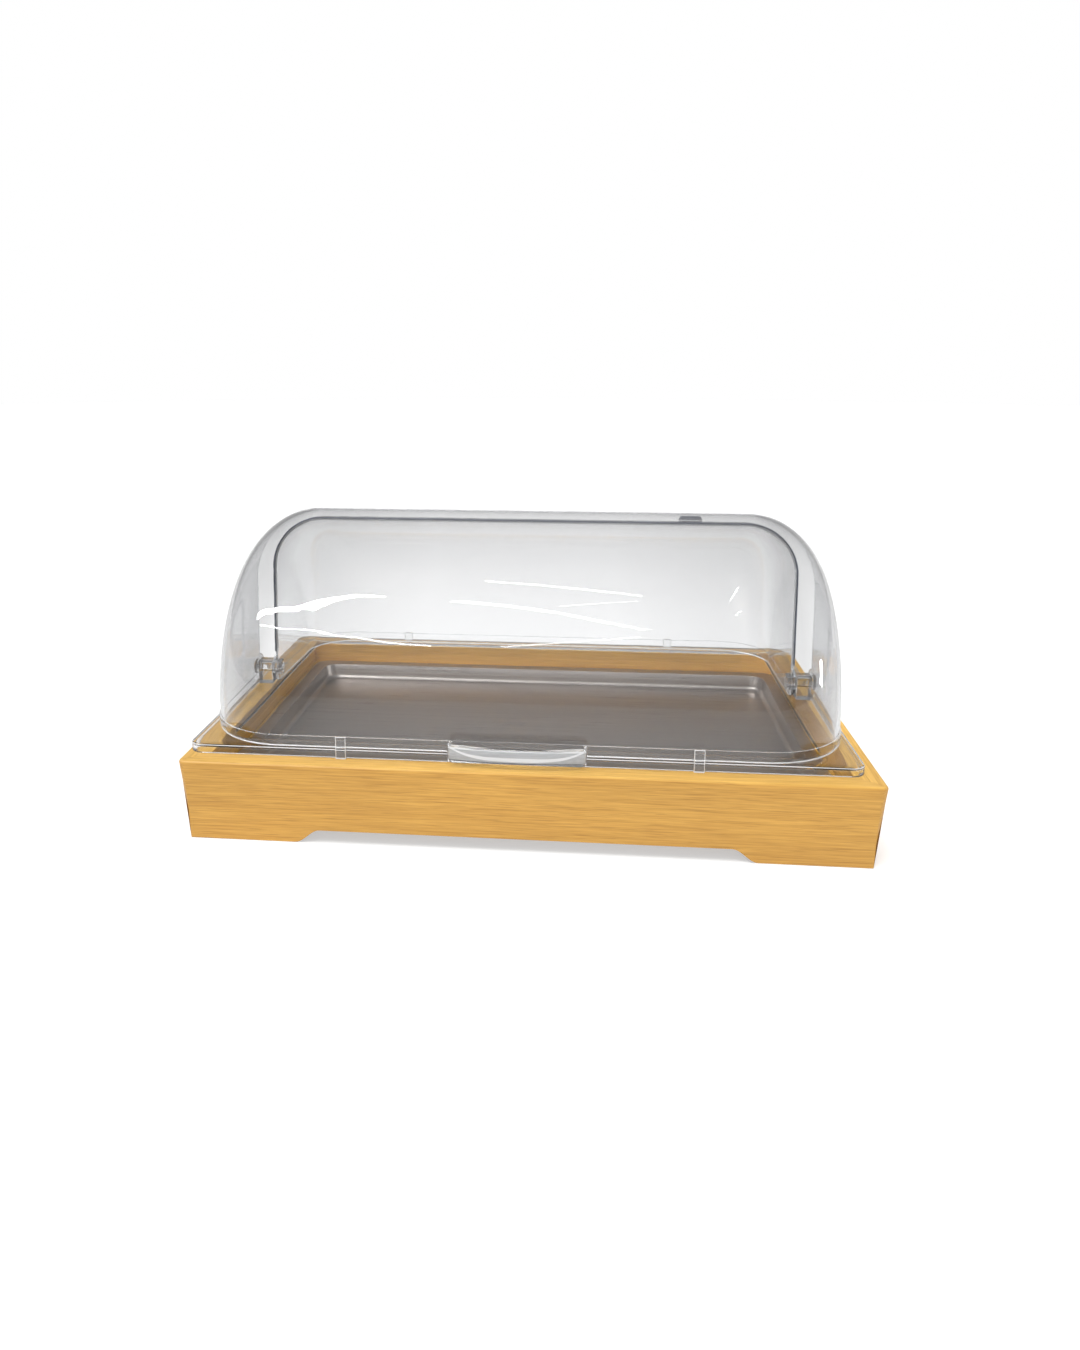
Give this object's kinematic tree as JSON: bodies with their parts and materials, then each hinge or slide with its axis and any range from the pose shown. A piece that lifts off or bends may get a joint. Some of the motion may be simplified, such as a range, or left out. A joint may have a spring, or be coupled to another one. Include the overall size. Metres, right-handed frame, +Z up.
{
  "type": "roll-top display case",
  "caption": "Tabletop display case: oak box with a steel tray under a clear roll-top cover whose front half rolls back over the rear half.",
  "frame": {"origin": "middle of the box's footprint, on the surface that it stands on", "axes": "+Z up, +X to the right along the pivot axis, -Y is the front where the cover opens"},
  "size_m": [0.586, 0.37, 0.2626],
  "materials": {
    "oak": "honey oak with a thin clear lacquer",
    "oak_inside": "plain oak, unlacquered",
    "tray_steel": "satin stainless sheet",
    "clear_plastic": "clear, glossy",
    "dark_rubber": "matt black"
  },
  "bodies": {
    "base": {"rail_front": "oak", "rail_back": "oak", "rail_left": "oak", "rail_right": "oak", "ledge_front": "oak_inside", "ledge_back": "oak_inside", "ledge_left": "oak_inside", "ledge_right": "oak_inside"},
    "tray": {"steel_tray": "tray_steel"},
    "cover_set": {"clear_frame": "clear_plastic", "locating_strip_front": "clear_plastic", "locating_strip_back": "clear_plastic", "locating_strip_left": "clear_plastic", "locating_strip_right": "clear_plastic", "rear_cover": "clear_plastic", "edge_seal": "dark_rubber", "bumper_ring": "dark_rubber", "bumper_disc": "clear_plastic", "bearing_post_left": "clear_plastic", "bearing_post_right": "clear_plastic", "pivot_pin_left": "clear_plastic", "pivot_pin_right": "clear_plastic", "snap_knob_left": "clear_plastic", "snap_knob_right": "clear_plastic", "front_lug_left": "clear_plastic", "front_lug_right": "clear_plastic", "back_lug_left": "clear_plastic", "back_lug_right": "clear_plastic"},
    "front_cover": {"front_cover": "clear_plastic", "front_grip": "clear_plastic"}
  },
  "joints": [
    {"name": "tray_lift", "type": "slide", "parent": "base", "child": "tray", "axis": [0, 0, 1], "range_m": [0, 0.12]},
    {"name": "cover_lift", "type": "slide", "parent": "tray", "child": "cover_set", "axis": [0, 0, 1], "range_m": [0, 0.25]},
    {"name": "front_roll", "type": "hinge", "parent": "cover_set", "child": "front_cover", "pos_m": [-0.005, 0, 0.0976], "axis": [-1, 0, 0], "range_deg": [0, 90]}
  ]
}
